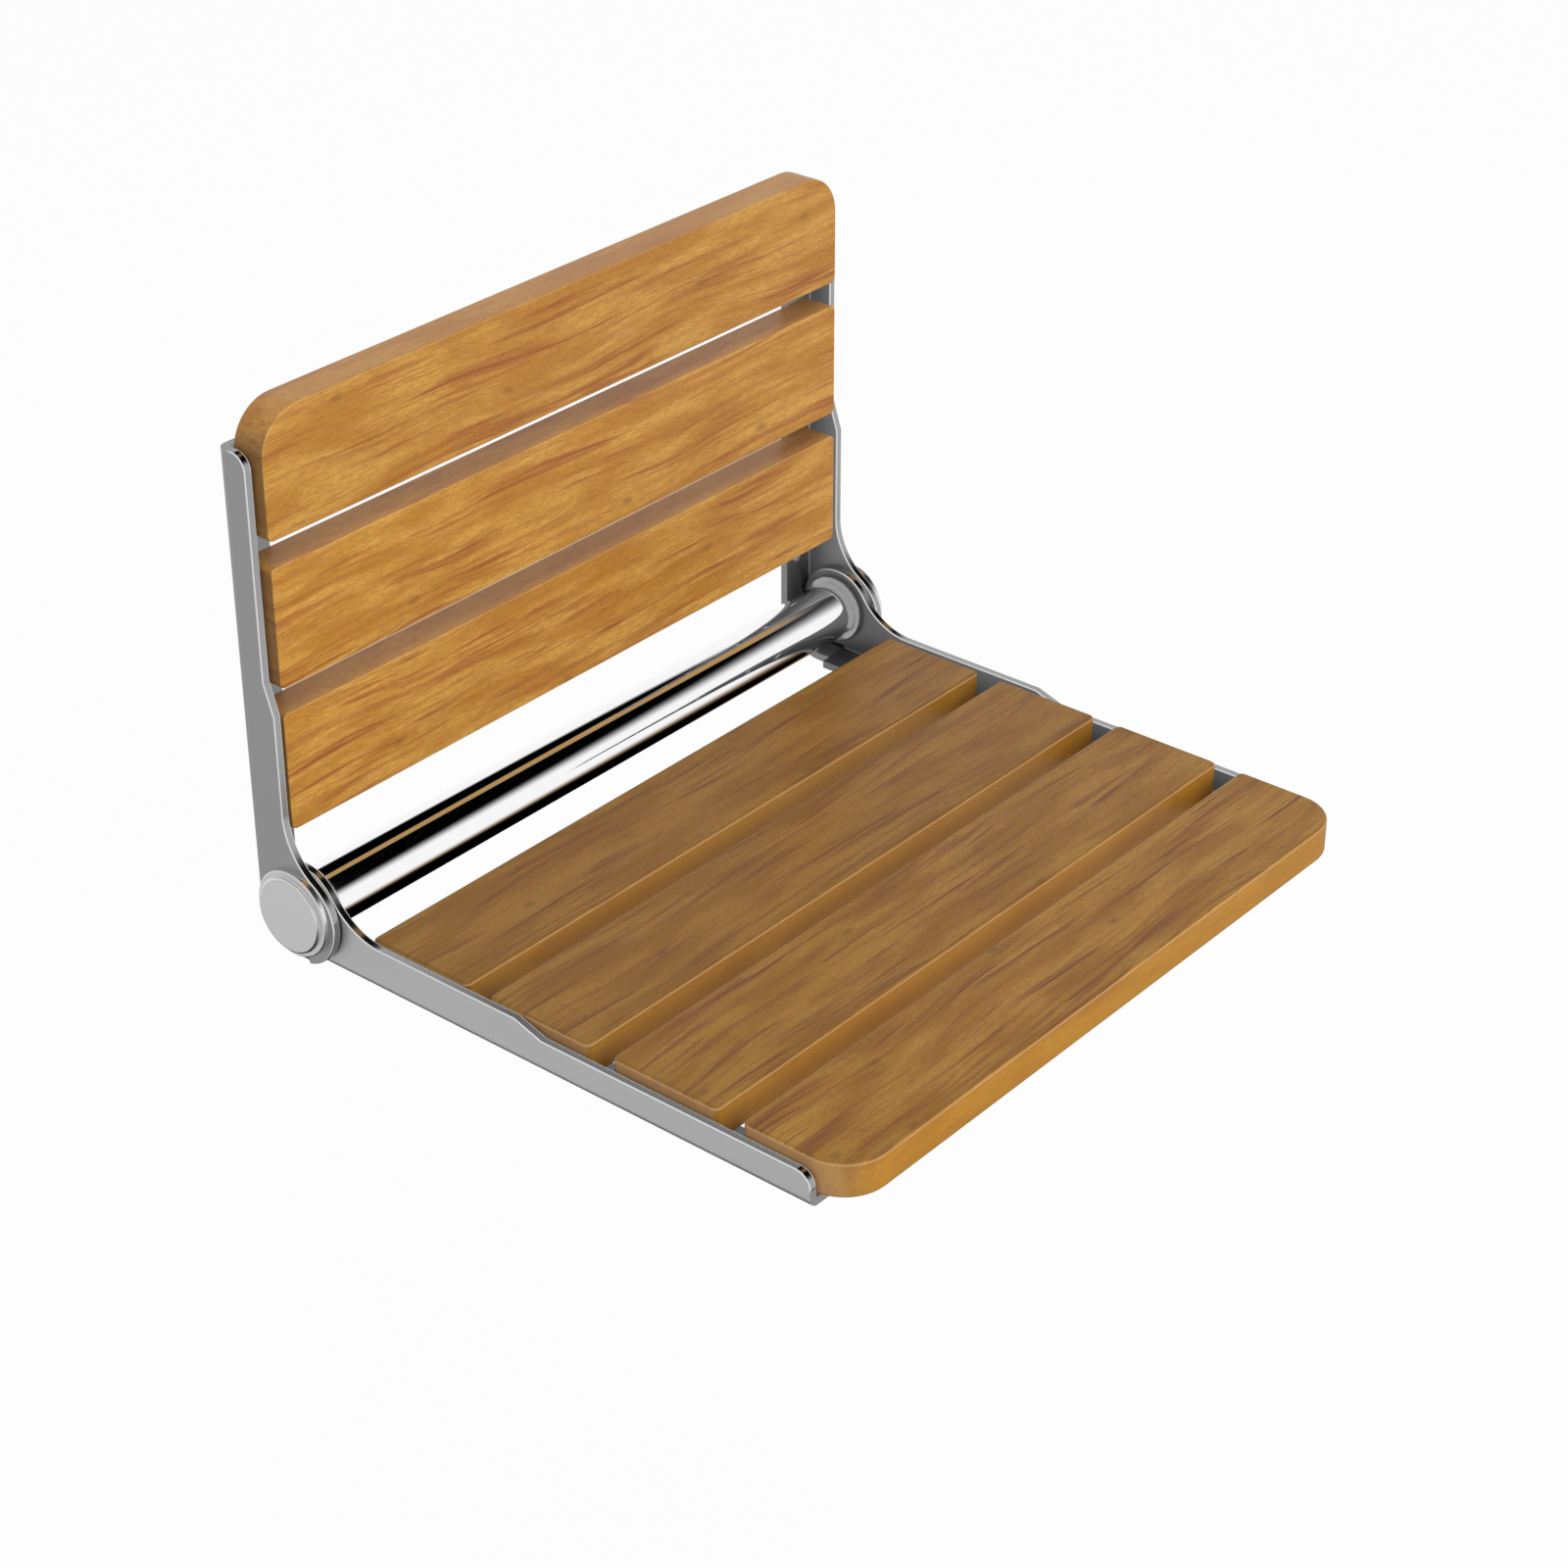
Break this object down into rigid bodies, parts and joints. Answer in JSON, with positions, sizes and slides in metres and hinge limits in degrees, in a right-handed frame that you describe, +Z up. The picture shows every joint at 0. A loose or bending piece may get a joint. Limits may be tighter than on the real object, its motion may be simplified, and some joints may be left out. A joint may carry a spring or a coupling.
{
  "type": "fold down wall seat",
  "caption": "Wall seat with slatted wooden seat and back on bent steel arms; the seat folds up on a hinge line with a cross tube.",
  "frame": {"origin": "centre of the four main wall screw holes, on the wall plane", "axes": "+X along the slats to the right as one sits, +Y into the wall, +Z up"},
  "size_m": [0.408, 0.34, 0.2688],
  "materials": {
    "back_wood": "satin lacquered hardwood with streaks along the grain",
    "seat_wood": "satin lacquered hardwood with streaks along the grain",
    "arm_steel": "satin stainless sheet with polished edges",
    "tube_chrome": "polished",
    "cap_metal": "turned face with a polished rim",
    "screw_steel": "plain",
    "washer_plastic": "matte",
    "bush_brass": "plain"
  },
  "bodies": {
    "wall_frame": {"back_arm_left": "arm_steel", "back_arm_right": "arm_steel", "back_slat_top": "back_wood", "back_slat_middle": "back_wood", "back_slat_bottom": "back_wood", "back_screws_left": "screw_steel", "back_screws_right": "screw_steel", "hinge_axle": "screw_steel", "axle_nut_left": "screw_steel", "axle_nut_right": "screw_steel", "hub_cap_left": "cap_metal", "hub_cap_right": "cap_metal", "spacer_washer_left": "washer_plastic", "spacer_washer_right": "washer_plastic"},
    "seat": {"seat_arm_left": "arm_steel", "seat_arm_right": "arm_steel", "seat_slat_1": "seat_wood", "seat_slat_2": "seat_wood", "seat_slat_3": "seat_wood", "seat_slat_4": "seat_wood", "seat_screws_left": "screw_steel", "seat_screws_right": "screw_steel", "cross_tube": "tube_chrome", "tube_collar_left": "tube_chrome", "tube_collar_right": "tube_chrome", "hinge_bush_left": "bush_brass", "hinge_bush_right": "bush_brass"}
  },
  "joints": [
    {"name": "seat_fold", "type": "hinge", "parent": "wall_frame", "child": "seat", "pos_m": [0, -0.0265, -0.09975], "axis": [-1, 0, 0], "range_deg": [0, 90]}
  ]
}
